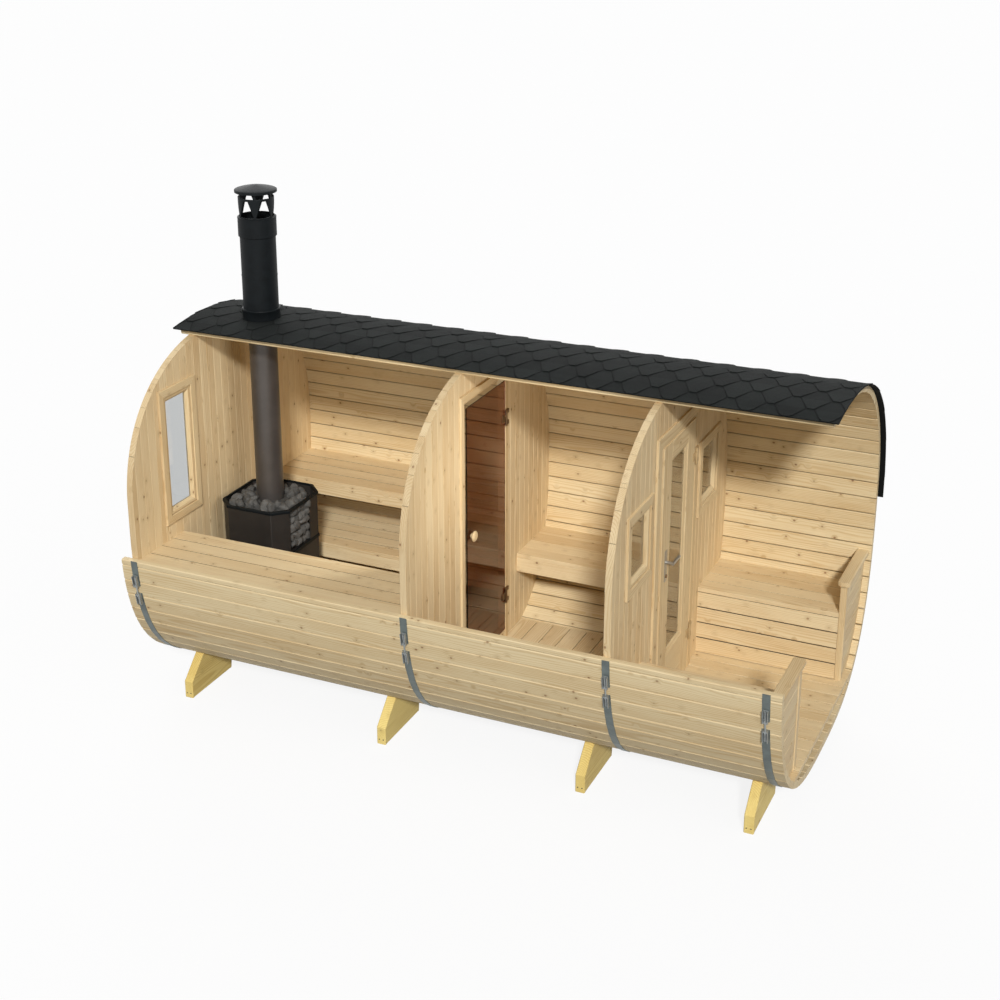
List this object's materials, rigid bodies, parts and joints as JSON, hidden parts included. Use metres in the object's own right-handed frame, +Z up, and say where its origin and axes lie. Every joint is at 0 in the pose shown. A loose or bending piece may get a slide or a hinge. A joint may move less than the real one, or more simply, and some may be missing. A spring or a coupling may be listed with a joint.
{
  "type": "barrel sauna",
  "caption": "Cut-away barrel sauna on cradles: staved timber barrel with hot room, changing room and porch, shingle roof, stove with flue, glass inner door and glazed front door.",
  "frame": {"origin": "ground level under the middle of the barrel", "axes": "+X along the barrel towards the porch, +Y away from the cut-away side, +Z up"},
  "size_m": [4.064, 2.1439, 3.0762],
  "materials": {
    "cradle_pine": "planed yellow timber",
    "stave_pine": "planed pale pine staves with bevelled joints",
    "wall_pine": "narrow upright pine boards",
    "trim_pine": "planed pine",
    "floor_pine": "planed pine boards",
    "bench_pine": "smooth pine boards",
    "shingle": "mineral-faced bitumen shingles, dark grey",
    "band_steel": "dull zinc-coated strap",
    "fitting_steel": "satin",
    "clear_glass": "clear",
    "brown_glass": "bronze-tinted",
    "stove_iron": "matt black heat-proof paint",
    "chimney_black": "matt black heat-proof paint",
    "stove_stone": "rough grey stones"
  },
  "bodies": {
    "house": {"cradle_1": "cradle_pine", "cradle_2": "cradle_pine", "cradle_3": "cradle_pine", "cradle_4": "cradle_pine", "staves_near": "stave_pine", "staves_bottom": "stave_pine", "staves_far_low": "stave_pine", "staves_far_high": "stave_pine", "staves_roof": "stave_pine", "roof_shingles": "shingle", "band_1": "band_steel", "band_2": "band_steel", "band_3": "band_steel", "band_4": "band_steel", "gable_wall": "wall_pine", "gable_window_frame": "trim_pine", "gable_window_glass": "clear_glass", "partition_wall": "wall_pine", "sauna_door_frame": "trim_pine", "sauna_frame_hinges": "fitting_steel", "front_wall": "wall_pine", "front_door_frame": "trim_pine", "front_frame_hinges": "fitting_steel", "front_window_near_frame": "trim_pine", "front_window_near_glass": "clear_glass", "front_window_far_frame": "trim_pine", "front_window_far_glass": "clear_glass", "sauna_floor": "floor_pine", "changing_floor": "floor_pine", "porch_floor_boards": "floor_pine", "sauna_bench_far": "bench_pine", "sauna_bench_near": "bench_pine", "sauna_step": "bench_pine", "changing_seat": "bench_pine", "porch_seat_far": "bench_pine", "porch_seat_near": "bench_pine", "railing_far": "trim_pine", "railing_near": "trim_pine", "stove_body": "stove_iron", "stove_stones": "stove_stone", "flue_pipe": "stove_iron", "chimney": "chimney_black", "cowl": "chimney_black"},
    "sauna_door_body": {"sauna_door": "brown_glass", "sauna_door_hinges": "fitting_steel", "sauna_door_knob": "trim_pine"},
    "front_door_body": {"front_door_leaf": "trim_pine", "front_door_glass": "clear_glass", "front_door_fittings": "fitting_steel"}
  },
  "joints": [
    {"name": "sauna_door_hinge", "type": "hinge", "parent": "house", "child": "sauna_door_body", "pos_m": [-0.0965, 0.271, 0], "axis": [0, 0, 1], "range_deg": [0, 100]},
    {"name": "front_door_hinge", "type": "hinge", "parent": "house", "child": "front_door_body", "pos_m": [1.0965, 0.279, 0], "axis": [0, 0, 1], "range_deg": [0, 100]}
  ]
}
